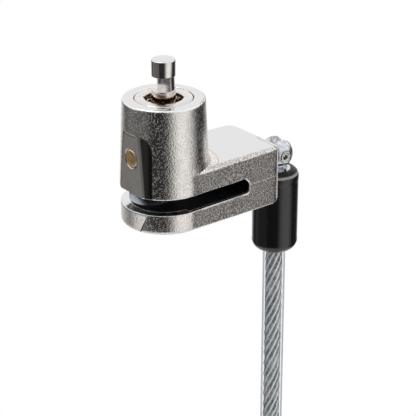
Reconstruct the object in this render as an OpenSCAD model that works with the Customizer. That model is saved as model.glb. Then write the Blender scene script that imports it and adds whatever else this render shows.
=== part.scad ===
// Laptop cable lock: a cast barrel with a forked jaw that grips the edge of a computer's security slot or
// bracket, a tubular keyed cylinder that turns an eccentric cam inside the slot, and a swivel with a
// looped steel cable in a clear jacket.
// Millimetres. The origin is on the barrel's axis, on the floor of the slot. +Z is up along the barrel and
// +X runs along the arm towards the cable.

/* [Barrel] */
// diameter of the barrel's top face
barrel_d = 17; // [12:0.5:24]
// height of the barrel's top face above the slot floor
barrel_top_z = 22.2; // [18:0.1:30]
// growth of the barrel's radius for each millimetre downwards
barrel_taper = 0.04; // [0:0.002:0.1]
// rounding of the barrel's top edge
top_round = 0.5; // [0.2:0.1:1.5]
// rounding of the edges round the slot's mouth
mouth_round = 0.4; // [0.2:0.1:1.2]
// distance from the axis to the flat that holds the brass pin
flat_x = 8.4; // [7.5:0.1:9]
// height of the ledge where the flat ends
flat_top_z = 16.3; // [14:0.1:19]

/* [Jaws] */
// clear height of the slot
slot_h = 3.3; // [2:0.05:5]
// distance from the barrel's axis to the slot's end wall
slot_end_x = 15.3; // [12:0.1:20]
// chamfer at the upper corner of the slot's end
slot_chamfer = 1; // [0.2:0.1:1.4]
// distance from the barrel's axis to the arm's end face
arm_end_x = 23.85; // [20:0.05:30]
// half of the arm's width at its end face
arm_half_w = 8.65; // [7:0.05:10]
// height of the arm's top face above the slot floor
arm_top_z = 8.25; // [6.5:0.05:11]
// radius of the arm's upright corners
arm_corner_r = 2.75; // [1:0.05:4]
// radius of the cast fillet between the barrel and the arm's top face
fillet_r = 1.4; // [0.5:0.1:2]
// width of the sloped band along the arm's top edges
band_w = 1.45; // [0.5:0.05:2.5]
// fall of the sloped band
band_fall = 0.55; // [0.1:0.05:1]
// thickness of the lower jaw
jaw_t = 4.5; // [3:0.1:7]
// radius of the lower jaw's round end
jaw_r = 9.1; // [8:0.1:11]
// rounding of the lower jaw's bottom edges
jaw_round = 1; // [0.3:0.1:2]
// rounding under the arm's end face
arm_heel_r = 2; // [0.5:0.1:3]

/* [Lower jaw details] */
// radius of the rubber pad's round end
pad_r = 7; // [5:0.1:8]
// half of the rubber pad's width
pad_half_w = 8.15; // [5:0.05:8.5]
// thickness of the rubber pad
pad_t = 0.8; // [0.4:0.1:1.5]
// radius of the assembly hole under the cam screw
access_r = 3.2; // [2.5:0.1:4]
// thickness of the disc that closes the assembly hole
cover_t = 2; // [1:0.1:3]

/* [Cylinder] */
// diameter of the cylinder case that shows as a ring in the top face
case_d = 12.1; // [10:0.05:14]
// wall thickness of the cylinder case
case_wall = 1.1; // [0.7:0.05:1.5]
// height of the floor that the cylinder case stands on
case_floor_z = 7; // [5.5:0.1:9]
// thickness of the case's front lip
lip_t = 1.6; // [1:0.1:2.5]
// diameter of the keyway in the front lip
keyway_d = 7.74; // [7:0.02:9]
// width of the keyway's two side notches
notch_w = 1.6; // [1:0.1:2.5]
// how far each side notch reaches from the axis
notch_reach = 4.75; // [4.2:0.05:5]
// direction of the side notches
notch_angle = -38.4; // [-90:0.1:90]
// height of the shear line between the plug and the pin block
shear_z = 13.6; // [13:0.1:15]
// radius of the circle of pin holes
pin_circle_r = 3.16; // [3:0.02:3.4]
// diameter of a key pin
key_pin_d = 1.2; // [0.8:0.05:1.3]
// travel of the key pins when a key is pushed in
pin_travel = 1.2; // [0.6:0.1:1.5]
// depth of the spring chambers below the shear line
chamber_depth = 5.4; // [4:0.1:6]
// length of a driver pin
driver_len = 3; // [2:0.1:4]

/* [Centre post and cam] */
// diameter of the centre post
post_d = 4.9; // [4:0.05:5.5]
// height of the post's top
post_top_z = 30.2; // [24:0.1:34]
// height of the post's head above its notch
head_h = 3.4; // [2:0.1:5]
// height of the notch under the post's head
notch_h = 2.9; // [1.5:0.1:4]
// diameter of the post's tail
tail_d = 3.6; // [3:0.1:4.4]
// radius of the eccentric cam
cam_r = 4.4; // [3.5:0.1:5]
// distance from the axis to the cam's centre
cam_offset = 3.6; // [2.5:0.1:4.5]
// height of the cam's lower face above the slot floor
cam_z = 1.3; // [0.8:0.1:2.2]
// radius of the cam's hub
hub_r = 2.9; // [2.4:0.1:3.5]
// radius of the cam screw's head
screw_head_r = 1.9; // [1.5:0.1:2.5]
// height of the cam screw's head
screw_head_h = 0.8; // [0.5:0.1:1.2]
// radius of the cam screw's shank
screw_r = 0.9; // [0.6:0.05:1.2]
// length of the cam screw's shank
screw_len = 4.5; // [3:0.1:6]

/* [Brass pin] */
// diameter of the brass pin
brass_d = 3.8; // [3:0.1:4.5]
// height of the brass pin's axis
brass_z = 10.95; // [9.5:0.05:11.5]
// distance from the barrel's axis to the brass pin's inner end
brass_inner_x = 4; // [3.9:0.1:4.5]
// how far the brass pin stands out of the flat
brass_proud = 0.1; // [0:0.05:0.3]

/* [Swivel] */
// distance from the arm's end face to the cable's pivot
pivot_reach = 6.25; // [6:0.05:9]
// height of the pivot
pivot_z = 2.5; // [1.5:0.1:4]
// radius of the fork's ball end
ball_r = 3.3; // [3:0.05:3.35]
// half of the distance across the ball's two flats
fork_half_w = 2.95; // [2.6:0.05:3.1]
// radius of the fork's neck between the arm and the ball
fork_neck_r = 2.6; // [2:0.1:2.8]
// width of the gap between the ears
fork_gap = 3; // [2.4:0.1:4]
// distance from the pivot to the bottom of the fork's gap
gap_depth = 2.7; // [2.4:0.1:4]
// gap between the fork and the arm's end face
fork_stand_off = 0.3; // [0.1:0.05:0.8]
// diameter of the fork's shank inside the arm
shank_d = 3.6; // [3:0.1:4.4]
// distance from the barrel's axis to the shank's inner end
shank_inner_x = 17.8; // [17:0.1:19]
// place of the groove round the shank
groove_x = 20.5; // [20:0.1:21.5]
// diameter of the groove's floor
groove_d = 2.2; // [1.8:0.1:2.8]
// diameter of the dowel that holds the shank
dowel_d = 1.2; // [0.8:0.1:1.6]
// height of the dowel's upper end
dowel_top_z = 5.5; // [5:0.1:6.5]
// diameter of the coiled pivot pin
pivot_pin_d = 2.5; // [2:0.1:3]
// diameter of the dark recess round the pivot pin's ends
pin_recess_d = 3.3; // [2.8:0.1:3.8]

/* [Cable end] */
// thickness of the terminal's tongue
tongue_t = 2.8; // [2:0.1:3.2]
// width of the tongue and diameter of its eye
tongue_w = 4.2; // [3.6:0.1:5]
// diameter of the terminal's crimp barrel
crimp_d = 8.4; // [7:0.1:9.5]
// height of the crimp barrel's shoulder
crimp_top_z = -1.7; // [-3:0.1:-1.5]
// height of the crimp barrel's lower end
crimp_bottom_z = -17.5; // [-20:0.1:-14]
// height of the blind end of the terminal's bore
crimp_bore_z = -6; // [-8:0.1:-4]
// diameter of the moulded sleeve
sleeve_d = 10.2; // [9:0.1:12]
// height of the sleeve's top
sleeve_top_z = -0.9; // [-1.2:0.1:-0.6]
// height of the sleeve's lower end
sleeve_bottom_z = -20.1; // [-22:0.1:-18]
// rounding of the sleeve's shoulder
shoulder_round = 1.8; // [0.6:0.1:2.2]
// rounding of the sleeve's lower end
sleeve_round = 2.4; // [0.4:0.1:2.5]
// diameter of the cable over its clear jacket
cable_d = 5; // [4:0.1:6]

/* [Cable coil] */
// radius of the coil's outer turn
coil_outer_r = 34.55; // [30:0.05:40]
// step between neighbouring turns
turn_step = 5.6; // [5.45:0.05:7]
// step between layers
layer_step = 5.5; // [5.45:0.05:7]
// turns that each layer spirals before it climbs
layer_turns = 1.625; // [1:0.125:3]
// how far a climb swings past the end of its spiral
climb_swing = 1; // [0.6:0.1:2]
// width of the strap tie round the coil
tie_w = 7; // [4:0.5:12]
// thickness of the strap tie
tie_t = 0.6; // [0.4:0.1:1.2]
// direction of the strap tie from the coil's centre
tie_angle = 40; // [0:5:80]

/* [Cable loop] */
// length of the ferrule that closes the loop
ferrule_len = 14; // [10:0.5:20]
// radius of the ferrule's round sides
ferrule_r = 3.4; // [3:0.1:4.5]
// distance between the ferrule's two bores
bore_gap = 5.6; // [5.45:0.05:7]
// radius of the loop's round end
loop_r = 14; // [10:0.5:20]
// distance from the ferrule to the centre of the loop's round end
loop_reach = 30; // [24:1:40]

/* [Fits] */
// radial clearance of each fit
fit_gap = 0.05; // [0.02:0.01:0.1]

/* [Hidden] */
$fn = 72;
over = 1;

barrel_mid_r = barrel_d / 2 + barrel_taper * (barrel_top_z - slot_h);
arm_root_half_w = jaw_r - fit_gap;
arm_lean = atan((arm_root_half_w - arm_half_w) / (arm_end_x - arm_corner_r));
case_r = case_d / 2 - fit_gap;
case_inner_r = case_d / 2 - case_wall;
plug_r = case_inner_r - fit_gap;
plug_top_z = barrel_top_z - lip_t - fit_gap;
pin_bore_r = key_pin_d / 2 + fit_gap;
pin_angles = [0, 45, 90, 135, 225, 270, 315];
key_pin_top_z = plug_top_z - 0.25;
chamber_floor_z = shear_z - chamber_depth;
driver_top_z = shear_z - fit_gap;
spring_top_z = driver_top_z - driver_len;
head_z = post_top_z - head_h;
neck_z = head_z - notch_h;
cam_top_z = slot_h - 2 * fit_gap;
fork_x = arm_end_x + fork_stand_off;
pivot_x = arm_end_x + pivot_reach;
cover_z = -jaw_t + 0.1;
dowel_y = -(groove_d + dowel_d) / 2 - fit_gap;

// the cable: centre of the coil, heights of its layers, and what it stands on
cable_r = cable_d / 2;
coil_x = pivot_x;
coil_y = 5;
coil_top_z = -150.5;
coil_layers = 4;
ring_count = 24;
coil_sides = 6;
period = layer_turns + 0.5;
coil_turns = coil_layers * layer_turns + (coil_layers - 1) * 0.5;
coil_inner_r = coil_outer_r - turn_step * layer_turns;
coil_low_z = coil_top_z - (coil_layers - 1) * layer_step;
flat_cut = cable_d / 10;
ground_z = coil_low_z - cable_r + flat_cut;

// the cable's free stretch from its terminal down to the coil's first turn, with X from the pivot
drop_points = [
    [0, 0, -6], [0, 0, -11], [0, 0, -23], [0, 0, -35], [0, 0, -47], [0, 0, -58], [0, 0, -66],
    [0, 0, -72.5], [0.5, 0, -79], [1, -0.5, -85.5], [1.5, -0.5, -92], [3, -1.5, -98.5],
    [4.5, -2, -104.5], [7, -2.5, -110.5], [10, -2.5, -116.5], [13.5, -2, -121.5], [17.5, 0, -126.5],
    [21.5, 3, -130.5], [24.5, 7, -134.5], [26.5, 12.5, -137.5], [27, 18.5, -140], [26, 24.5, -142],
    [23, 30, -143.5], [18.5, 35, -144], [13, 38.5, -144.5], [6.5, 40.5, -144.5], [0, 41, -144.5],
    [-6, 40.5, -145], [-11.5, 39, -145.5], [-16.5, 37, -146], [-21, 34, -146.5], [-25, 30, -147.5],
    [-28.5, 25.5, -148.5], [-31.5, 20.5, -149.5], [-33.5, 15.5, -150], [-34.55, 10, -150.5],
    [-34.55, 5, -150.5]
];
// the cable's free stretch from the coil's last turn to the ferrule, with X from the pivot
tail_points = [
    [-34.55, 5, -167], [-34.55, 0, -167], [-34.5, -9, -166.5], [-34.5, -18, -166.5],
    [-34.5, -27, -166], [-33, -34.5, -166], [-28.5, -41, -165.5], [-22, -45.5, -165.5],
    [-14.5, -47, -165.6], [-11, -47, -165.6], [-6, -47, -165.6]
];
drop_route = [for (p = drop_points) p + [pivot_x, 0, 0]];
tail_route = [for (p = tail_points) p + [pivot_x, 0, 0]];
ferrule_x = tail_route[len(tail_route) - 1][0];
ferrule_y = tail_route[len(tail_route) - 1][1] - bore_gap / 2;
ferrule_z = ground_z + ferrule_r;
loop_x = ferrule_x + ferrule_len + loop_reach;
loop_end_z = ground_z + cable_r;

// points of an arc in a plane, for rounded profiles
function arc(cx, cy, r, from, to, steps = 8) =
    [for (i = [0:steps]) let (a = from + (to - from) * i / steps) [cx + r * cos(a), cy + r * sin(a)]];

function barrel_r(z) = barrel_d / 2 + barrel_taper * (barrel_top_z - z);

// radius of the coil's spiral at so many turns into a layer, where even layers run inwards
function spiral_r(layer, u) = layer % 2 == 0 ? coil_outer_r - turn_step * u : coil_inner_r + turn_step * u;
function climb_r(layer, s) = layer % 2 == 0 ? coil_inner_r - climb_swing * sin(180 * s)
                                            : coil_outer_r + climb_swing * sin(180 * s);
function coil_point(t) =
    let (layer = min(floor(t / period), coil_layers - 1), u = t - layer * period,
         s = max(0, (u - layer_turns) / 0.5), climbing = u > layer_turns,
         r = climbing ? climb_r(layer, s) : spiral_r(layer, u),
         z = coil_top_z - layer_step * (layer + (climbing ? (1 - cos(180 * s)) / 2 : 0)),
         a = 180 + 360 * t)
    [coil_x + r * cos(a), coil_y + r * sin(a), z];
coil_route = [for (i = [0:coil_turns * ring_count]) coil_point(i / ring_count)];

// the least gap of the coil to itself, counted from half a turn away on
coil_gap = min([for (i = [0:len(coil_route) - 1])
                for (j = [i + ring_count / 2:1:len(coil_route) - 1]) norm(coil_route[i] - coil_route[j])])
           - cable_d;
echo(coil_least_gap = coil_gap);

// the loop leaves the ferrule's far bore, swings round its tip and comes back through the other bore
function loop_point(u) =
    let (side = bore_gap / 2, spread = loop_r - side, a = 180 * min(1, max(0, (u - 1))))
    u <= 1 ? [ferrule_x + ferrule_len + loop_reach * u, -side - spread * (1 - cos(180 * u)) / 2]
           : u >= 2 ? [ferrule_x + ferrule_len + loop_reach * (3 - u), side + spread * (1 - cos(180 * (3 - u))) / 2]
                    : [loop_x + loop_r * sin(a), -loop_r * cos(a)];
loop_steps = 8;
loop_bend = [for (i = [0:3 * loop_steps]) let (u = i / loop_steps, p = loop_point(u))
             [p[0], ferrule_y + p[1],
              ferrule_z + (loop_end_z - ferrule_z) * (p[0] - ferrule_x - ferrule_len) / (loop_reach + loop_r)]];
loop_route = concat(
    [[ferrule_x - 1.5, ferrule_y - bore_gap / 2, ferrule_z], [ferrule_x + 5, ferrule_y - bore_gap / 2, ferrule_z]],
    loop_bend,
    [[ferrule_x + 5, ferrule_y + bore_gap / 2, ferrule_z], [ferrule_x, ferrule_y + bore_gap / 2, ferrule_z]]);

function unit(v) = v / norm(v);
function heading(route, i) =
    let (last = len(route) - 1)
    i == 0 ? unit(route[1] - route[0])
           : i == last ? unit(route[last] - route[last - 1])
                       : unit(unit(route[i + 1] - route[i]) + unit(route[i] - route[i - 1]));
// a direction across the route, carried from ring to ring so that the tube doesn't twist
function side_of(v, d) = unit(v - (v * d) * d);
function sides_along(route, i, v) =
    i == len(route) ? [] : let (w = side_of(v, heading(route, i))) concat([w], sides_along(route, i + 1, w));

// one closed tube along a route, with flat ends
module tube(route, r, sides, start_side) {
    across = sides_along(route, 0, start_side);
    points = [for (i = [0:len(route) - 1])
              let (d = heading(route, i), v = across[i], w = cross(d, v))
              for (k = [0:sides - 1]) route[i] + r * (cos(360 * k / sides) * v + sin(360 * k / sides) * w)];
    walls = [for (i = [0:len(route) - 2]) for (k = [0:sides - 1])
             let (a = i * sides + k, b = i * sides + (k + 1) % sides, up = sides)
             for (f = [[a, b + up, b], [a, a + up, b + up]]) f];
    first = [for (k = [1:sides - 2]) [0, k, k + 1]];
    base = (len(route) - 1) * sides;
    last = [for (k = [1:sides - 2]) [base, base + k + 1, base + k]];
    polyhedron(points, concat(walls, first, last));
}

// everything under the surface that the coil stands on
module below_ground() {
    translate([coil_x - 100, coil_y - 150, ground_z - 20])
        cube([200, 250, 20]);
}

// a bar's profile pushed along X, from x = from
module along_x(from, length) {
    translate([from, 0, 0])
        rotate([90, 0, 90])
            linear_extrude(length)
                children();
}

// a profile in X and Z pushed along Y, to both sides
module along_y(half) {
    translate([0, half, 0])
        rotate([90, 0, 0])
            linear_extrude(2 * half)
                children();
}

// the barrel above the slot, with its flat
module barrel_form() {
    low = barrel_mid_r - mouth_round;
    high = barrel_d / 2 - top_round;
    difference() {
        rotate_extrude()
            polygon(concat([[0, slot_h], [low, slot_h]],
                           arc(low, slot_h + mouth_round, mouth_round, -90, 0),
                           arc(high, barrel_top_z - top_round, top_round, 0, 90),
                           [[0, barrel_top_z]]));
        translate([-flat_x - 10, -barrel_d, 0])
            cube([10, 2 * barrel_d, flat_top_z]);
    }
}

// plan of the arm, which narrows from the jaws to its end face
module arm_plan() {
    inset = arm_end_x - arm_corner_r;
    side = arm_half_w - arm_corner_r;
    polygon(concat([[0, arm_root_half_w], [0, -arm_root_half_w]],
                   arc(inset, -side, arm_corner_r, -90, 0),
                   arc(inset, side, arm_corner_r, 0, 90)));
}

// everything inside one flank of the arm, with the sloped band above it and the rounding below it
module inside_flank(side) {
    skin = 0.02;
    keel_round = jaw_round + 0.15;
    mirror([0, side > 0 ? 0 : 1, 0])
        translate([0, arm_root_half_w + skin, 0])
            rotate([0, 0, -arm_lean])
                along_x(-over, arm_end_x + 2 * over)
                    polygon(concat([[-4 * jaw_r, -jaw_t]],
                                   arc(-keel_round, -jaw_t + keel_round, keel_round, -90, 0),
                                   [[0, arm_top_z - band_fall], [-band_w, arm_top_z], [-4 * jaw_r, arm_top_z]]));
}

// the arm with both jaws' straight sides
module arm_form() {
    heel = arm_end_x - arm_heel_r;
    intersection() {
        translate([0, 0, -jaw_t])
            linear_extrude(jaw_t + arm_top_z)
                arm_plan();
        along_y(jaw_r)
            polygon(concat([[0, arm_top_z], [0, -jaw_t]],
                           arc(heel, -jaw_t + arm_heel_r, arm_heel_r, -90, 0),
                           [[arm_end_x, arm_top_z - band_fall], [arm_end_x - 0.5, arm_top_z]]));
        inside_flank(1);
        inside_flank(-1);
    }
}

// the fillet between the barrel and the arm's top face, sunk a little so that it crosses both
module arm_fillet() {
    sink = 0.03;
    centre_r = barrel_r(arm_top_z + fillet_r) + fillet_r - sink;
    centre_z = arm_top_z + fillet_r - sink;
    root_r = barrel_r(arm_top_z) - over;
    intersection() {
        rotate_extrude()
            polygon(concat([[root_r, arm_top_z - over], [centre_r, arm_top_z - over]],
                           arc(centre_r, centre_z, fillet_r, -90, -180, 6),
                           [[root_r, centre_z]]));
        translate([0, 0, arm_top_z - 2 * over])
            linear_extrude(fillet_r + 3 * over)
                polygon([[0, arm_root_half_w - 0.1], [0, 0.1 - arm_root_half_w],
                         [arm_end_x, 0.1 - arm_half_w], [arm_end_x, arm_half_w - 0.1]]);
    }
}

// the lower jaw's round end
module jaw_end() {
    rim = 0.3;
    rotate_extrude()
        polygon(concat([[0, -jaw_t]],
                       arc(jaw_r - jaw_round, -jaw_t + jaw_round, jaw_round, -90, 0),
                       arc(jaw_r - rim, -rim, rim, 0, 90),
                       [[0, 0]]));
}

// the slot between the jaws, open at its mouth and both sides
module slot_space() {
    along_y(jaw_r + over)
        polygon([[-2 * jaw_r, 0], [slot_end_x, 0], [slot_end_x, slot_h - slot_chamfer],
                 [slot_end_x - slot_chamfer, slot_h], [-2 * jaw_r, slot_h]]);
}

// plan of the rubber pad and its pocket
module pad_plan(shrink = 0) {
    circle(r = pad_r - shrink);
    translate([0, -pad_half_w + shrink])
        square([slot_end_x - over - shrink, 2 * (pad_half_w - shrink)]);
}

// a round bar along X
module bar_x(from, to, r) {
    translate([from, 0, 0])
        rotate([0, 90, 0])
            cylinder(r = r, h = to - from);
}

module body() {
    color([0.72, 0.71, 0.69])
        difference() {
            union() {
                barrel_form();
                arm_form();
                arm_fillet();
                jaw_end();
            }
            slot_space();
            translate([0, 0, case_floor_z])
                cylinder(r = case_d / 2, h = barrel_top_z);
            translate([0, 0, slot_h - over])
                cylinder(r = tail_d / 2 + fit_gap, h = barrel_top_z);
            translate([0, 0, brass_z])
                bar_x(-barrel_d, -brass_inner_x, brass_d / 2);
            translate([0, 0, -pad_t])
                linear_extrude(pad_t + over)
                    pad_plan();
            translate([0, 0, -jaw_t - over])
                cylinder(r = access_r, h = jaw_t + over);
            translate([0, 0, pivot_z])
                bar_x(shank_inner_x - 0.2, arm_end_x + over, shank_d / 2 + fit_gap);
            translate([groove_x, dowel_y, -jaw_t - over])
                cylinder(d = dowel_d, h = jaw_t + over + dowel_top_z);
        }
}

module cylinder_case() {
    case_edge = 0.3;
    color([0.6, 0.6, 0.6])
        difference() {
            rotate_extrude()
                polygon([[0, case_floor_z], [case_r, case_floor_z], [case_r, barrel_top_z - case_edge],
                         [case_r - case_edge, barrel_top_z], [0, barrel_top_z]]);
            translate([0, 0, case_floor_z - over])
                cylinder(r = case_inner_r, h = barrel_top_z - lip_t - case_floor_z + over);
            translate([0, 0, case_floor_z])
                cylinder(d = keyway_d, h = barrel_top_z);
            rotate([0, 0, notch_angle])
                translate([-notch_reach, -notch_w / 2, barrel_top_z - lip_t - over])
                    cube([2 * notch_reach, notch_w, lip_t + 2 * over]);
            translate([0, 0, brass_z])
                bar_x(-barrel_d, 0, brass_d / 2);
        }
}

// one copy of the children at each pin hole
module at_pins() {
    for (a = pin_angles)
        rotate([0, 0, a])
            translate([pin_circle_r, 0, 0])
                children();
}

module pin_block() {
    color([0.75, 0.62, 0.32])
        difference() {
            translate([0, 0, case_floor_z])
                cylinder(r = plug_r, h = shear_z - case_floor_z);
            translate([0, 0, case_floor_z - over])
                cylinder(r = tail_d / 2 + fit_gap, h = shear_z);
            at_pins()
                translate([0, 0, chamber_floor_z])
                    cylinder(r = pin_bore_r, h = chamber_depth + over, $fn = 24);
            translate([-pin_circle_r, 0, shear_z - pin_travel - 2 * fit_gap])
                cylinder(r = pin_bore_r, h = chamber_depth, $fn = 24);
            translate([0, 0, brass_z])
                bar_x(-barrel_d, -brass_inner_x, brass_d / 2);
        }
}

module retaining_pin() {
    dimple = 0.25;
    color([0.8, 0.62, 0.3])
        translate([0, 0, brass_z])
            difference() {
                bar_x(-flat_x - brass_proud, -brass_inner_x, brass_d / 2);
                bar_x(-flat_x - brass_proud - over, -flat_x - brass_proud + dimple, brass_d / 2 - 0.3);
            }
}

module slot_pad() {
    color([0.08, 0.08, 0.08])
        translate([0, 0, -pad_t])
            linear_extrude(pad_t - fit_gap)
                pad_plan(fit_gap);
}

module jaw_cover() {
    color([0.65, 0.65, 0.65])
        translate([0, 0, cover_z])
            cylinder(r = access_r, h = cover_t);
}

module swivel_dowel() {
    color([0.6, 0.6, 0.62])
        translate([groove_x, dowel_y, cover_z])
            cylinder(d = dowel_d, h = dowel_top_z - cover_z);
}

module key_plug() {
    color([0.7, 0.55, 0.35])
        difference() {
            translate([0, 0, shear_z + fit_gap])
                cylinder(r = plug_r, h = plug_top_z - shear_z - fit_gap);
            cylinder(d = post_d, h = barrel_top_z);
            at_pins()
                translate([0, 0, shear_z - over])
                    cylinder(r = pin_bore_r, h = barrel_top_z, $fn = 24);
        }
}

module centre_post() {
    edge = 0.25;
    neck_in = 0.2;
    color([0.78, 0.78, 0.78])
        difference() {
            rotate_extrude()
                polygon([[0, cam_z], [tail_d / 2, cam_z], [tail_d / 2, shear_z + fit_gap],
                         [post_d / 2, shear_z + fit_gap], [post_d / 2, post_top_z - edge],
                         [post_d / 2 - edge, post_top_z], [0, post_top_z]]);
            translate([-post_d, -post_d, neck_z])
                cube([post_d, 2 * post_d, notch_h]);
            translate([0, 0, neck_z])
                difference() {
                    cylinder(d = 2 * post_d, h = notch_h);
                    cylinder(r = post_d / 2 - neck_in, h = notch_h);
                }
            translate([0, 0, cam_z - over])
                cylinder(r = screw_r, h = screw_len + over + 0.3);
        }
}

module locking_cam() {
    color([0.7, 0.74, 0.78])
        difference() {
            translate([0, 0, cam_z])
                linear_extrude(cam_top_z - cam_z)
                    union() {
                        translate([-cam_offset, 0])
                            circle(r = cam_r);
                        circle(r = hub_r);
                        translate([-cam_offset, -hub_r])
                            square([cam_offset, 2 * hub_r]);
                    }
            cylinder(d = tail_d, h = slot_h);
        }
}

module cam_screw() {
    socket_r = 0.9;
    socket_depth = 0.4;
    color([0.5, 0.5, 0.52])
        difference() {
            union() {
                translate([0, 0, cam_z - screw_head_h])
                    cylinder(r = screw_head_r, h = screw_head_h);
                translate([0, 0, cam_z])
                    cylinder(r = screw_r, h = screw_len);
            }
            translate([0, 0, cam_z - screw_head_h - over])
                cylinder(r = socket_r, h = socket_depth + over, $fn = 6);
        }
}

module key_pins() {
    color([0.85, 0.7, 0.4])
        at_pins()
            translate([0, 0, shear_z + fit_gap])
                cylinder(d = key_pin_d, h = key_pin_top_z - shear_z - fit_gap, $fn = 24);
}

module driver_pins() {
    color([0.7, 0.7, 0.72])
        at_pins()
            translate([0, 0, spring_top_z])
                cylinder(d = key_pin_d, h = driver_len, $fn = 24);
}

module pin_springs() {
    color([0.55, 0.55, 0.58])
        at_pins()
            translate([0, 0, chamber_floor_z])
                difference() {
                    cylinder(d = key_pin_d, h = spring_top_z - chamber_floor_z, $fn = 24);
                    translate([0, 0, -over])
                        cylinder(d = key_pin_d / 2, h = chamber_depth, $fn = 24);
                }
}

module swivel_fork() {
    recess_t = 0.3;
    groove_half = dowel_d / 2 + fit_gap;
    color([0.55, 0.58, 0.62])
        difference() {
            union() {
                translate([pivot_x, 0, pivot_z])
                    intersection() {
                        sphere(r = ball_r);
                        cube([4 * ball_r, 2 * fork_half_w, 4 * ball_r], center = true);
                    }
                translate([0, 0, pivot_z])
                    bar_x(fork_x, pivot_x, fork_neck_r);
                translate([0, 0, pivot_z])
                    bar_x(shank_inner_x, fork_x + over, shank_d / 2);
            }
            translate([pivot_x - gap_depth, -fork_gap / 2, pivot_z - 2 * ball_r])
                cube([2 * gap_depth + ball_r, fork_gap, 4 * ball_r]);
            along_y(fork_half_w + over)
                translate([pivot_x, pivot_z])
                    circle(d = pivot_pin_d);
            for (side = [-1, 1])
                translate([0, side * fork_half_w, 0])
                    along_y(recess_t)
                        translate([pivot_x, pivot_z])
                            circle(d = pin_recess_d);
            translate([0, 0, pivot_z])
                difference() {
                    bar_x(groove_x - groove_half, groove_x + groove_half, shank_d);
                    bar_x(groove_x - 2 * groove_half, groove_x + 2 * groove_half, groove_d / 2);
                }
        }
}

module pivot_pin() {
    slit = 0.25;
    core = 0.3;
    color([0.5, 0.48, 0.45])
        translate([pivot_x, 0, pivot_z])
            difference() {
                rotate([90, 0, 0])
                    cylinder(d = pivot_pin_d, h = 2 * fork_half_w, center = true);
                rotate([90, 0, 0])
                    cylinder(r = core, h = 2 * fork_half_w + 2 * over, center = true);
                translate([0, -fork_half_w - over, 0])
                    cube([pivot_pin_d, 2 * (fork_half_w + over), slit]);
            }
}

module cable_terminal() {
    color([0.6, 0.62, 0.65])
        difference() {
            union() {
                along_y(tongue_t / 2)
                    union() {
                        translate([pivot_x, pivot_z])
                            circle(d = tongue_w);
                        translate([pivot_x - tongue_w / 2, crimp_top_z - over])
                            square([tongue_w, pivot_z - crimp_top_z + over]);
                    }
                translate([pivot_x, 0, crimp_bottom_z])
                    cylinder(d = crimp_d, h = crimp_top_z - crimp_bottom_z);
            }
            along_y(tongue_t)
                translate([pivot_x, pivot_z])
                    circle(r = pivot_pin_d / 2 + fit_gap);
            translate([pivot_x, 0, crimp_bottom_z - over])
                cylinder(d = cable_d, h = crimp_bore_z - crimp_bottom_z + over);
        }
}

module sleeve() {
    rim_r = sleeve_d / 2 - sleeve_round;
    shoulder_r = sleeve_d / 2 - shoulder_round;
    neck_r = 2.75;
    color([0.05, 0.05, 0.05])
        translate([pivot_x, 0, 0])
            rotate_extrude()
                polygon(concat([[neck_r, sleeve_top_z]],
                               arc(shoulder_r, sleeve_top_z - shoulder_round, shoulder_round, 90, 0),
                               arc(rim_r, sleeve_bottom_z + sleeve_round, sleeve_round, 0, -90),
                               [[cable_r + fit_gap, sleeve_bottom_z],
                                [cable_r + fit_gap, crimp_bottom_z - fit_gap],
                                [crimp_d / 2 + fit_gap, crimp_bottom_z - fit_gap],
                                [crimp_d / 2 + fit_gap, crimp_top_z + fit_gap],
                                [neck_r, crimp_top_z + fit_gap]]));
}

module cable_drop() {
    color([0.6, 0.6, 0.58])
        tube(drop_route, cable_r, 8, [1, 0, 0]);
}

module cable_coil() {
    color([0.6, 0.6, 0.58])
        difference() {
            tube(coil_route, cable_r, coil_sides, [0, 0, 1]);
            below_ground();
        }
}

module coil_tie() {
    slack = 0.1;
    inner = coil_inner_r - climb_swing - cable_r - slack;
    outer = coil_outer_r + climb_swing + cable_r + slack;
    high = coil_top_z + cable_r + slack;
    color([0.1, 0.1, 0.12])
        translate([coil_x, coil_y, 0])
            rotate([0, 0, tie_angle])
                difference() {
                    along_y(tie_w / 2)
                        translate([inner - tie_t, ground_z])
                            square([outer - inner + 2 * tie_t, high + tie_t - ground_z]);
                    along_y(tie_w)
                        translate([inner, ground_z + tie_t])
                            square([outer - inner, high - ground_z - tie_t]);
                }
}

module cable_tail() {
    color([0.6, 0.6, 0.58])
        difference() {
            tube(tail_route, cable_r, 8, [0, 0, 1]);
            below_ground();
        }
}

module cable_loop() {
    color([0.6, 0.6, 0.58])
        tube(loop_route, cable_r, 8, [0, 0, 1]);
}

module loop_ferrule() {
    color([0.7, 0.7, 0.7])
        translate([0, ferrule_y, ferrule_z])
            difference() {
                union() {
                    for (side = [-1, 1])
                        translate([0, side * bore_gap / 2, 0])
                            bar_x(ferrule_x, ferrule_x + ferrule_len, ferrule_r);
                    translate([ferrule_x, -bore_gap / 2, -ferrule_r])
                        cube([ferrule_len, bore_gap, 2 * ferrule_r]);
                }
                for (side = [-1, 1])
                    translate([0, side * bore_gap / 2, 0])
                        bar_x(ferrule_x - over, ferrule_x + ferrule_len + over, cable_r);
            }
}

body();
cylinder_case();
pin_block();
retaining_pin();
slot_pad();
jaw_cover();
swivel_dowel();
key_plug();
centre_post();
locking_cam();
cam_screw();
key_pins();
driver_pins();
pin_springs();
swivel_fork();
pivot_pin();
cable_terminal();
sleeve();
cable_drop();
cable_coil();
coil_tie();
cable_tail();
cable_loop();
loop_ferrule();
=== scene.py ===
import math

import bmesh
import bpy
from mathutils import Matrix, Vector


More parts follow.
